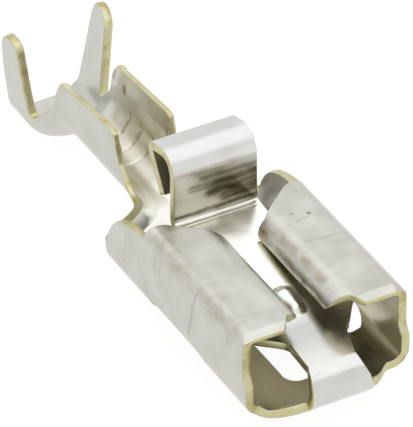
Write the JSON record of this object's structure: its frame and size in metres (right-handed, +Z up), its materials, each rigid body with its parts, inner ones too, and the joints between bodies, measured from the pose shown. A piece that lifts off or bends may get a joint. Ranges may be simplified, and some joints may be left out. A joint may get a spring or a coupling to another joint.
{
  "type": "female spade terminal",
  "caption": "Locking female spade terminal folded from one strip: rolled tab socket, spring lock arm with release lever, open wire barrel and insulation grip.",
  "frame": {"origin": "middle of the whole length on the middle plane, at the level of the lowest face of the insulation grip", "axes": "+X along the terminal from the insulation grip to the mouth of the tab socket, +Y to its left, +Z up from the socket floor to the rolls"},
  "size_m": [0.026, 0.0076, 0.0074],
  "materials": {
    "tinned_brass": "satin tin plate, bare brass on the cut edges"
  },
  "bodies": {
    "root": {"terminal": "tinned_brass"}
  },
  "joints": []
}
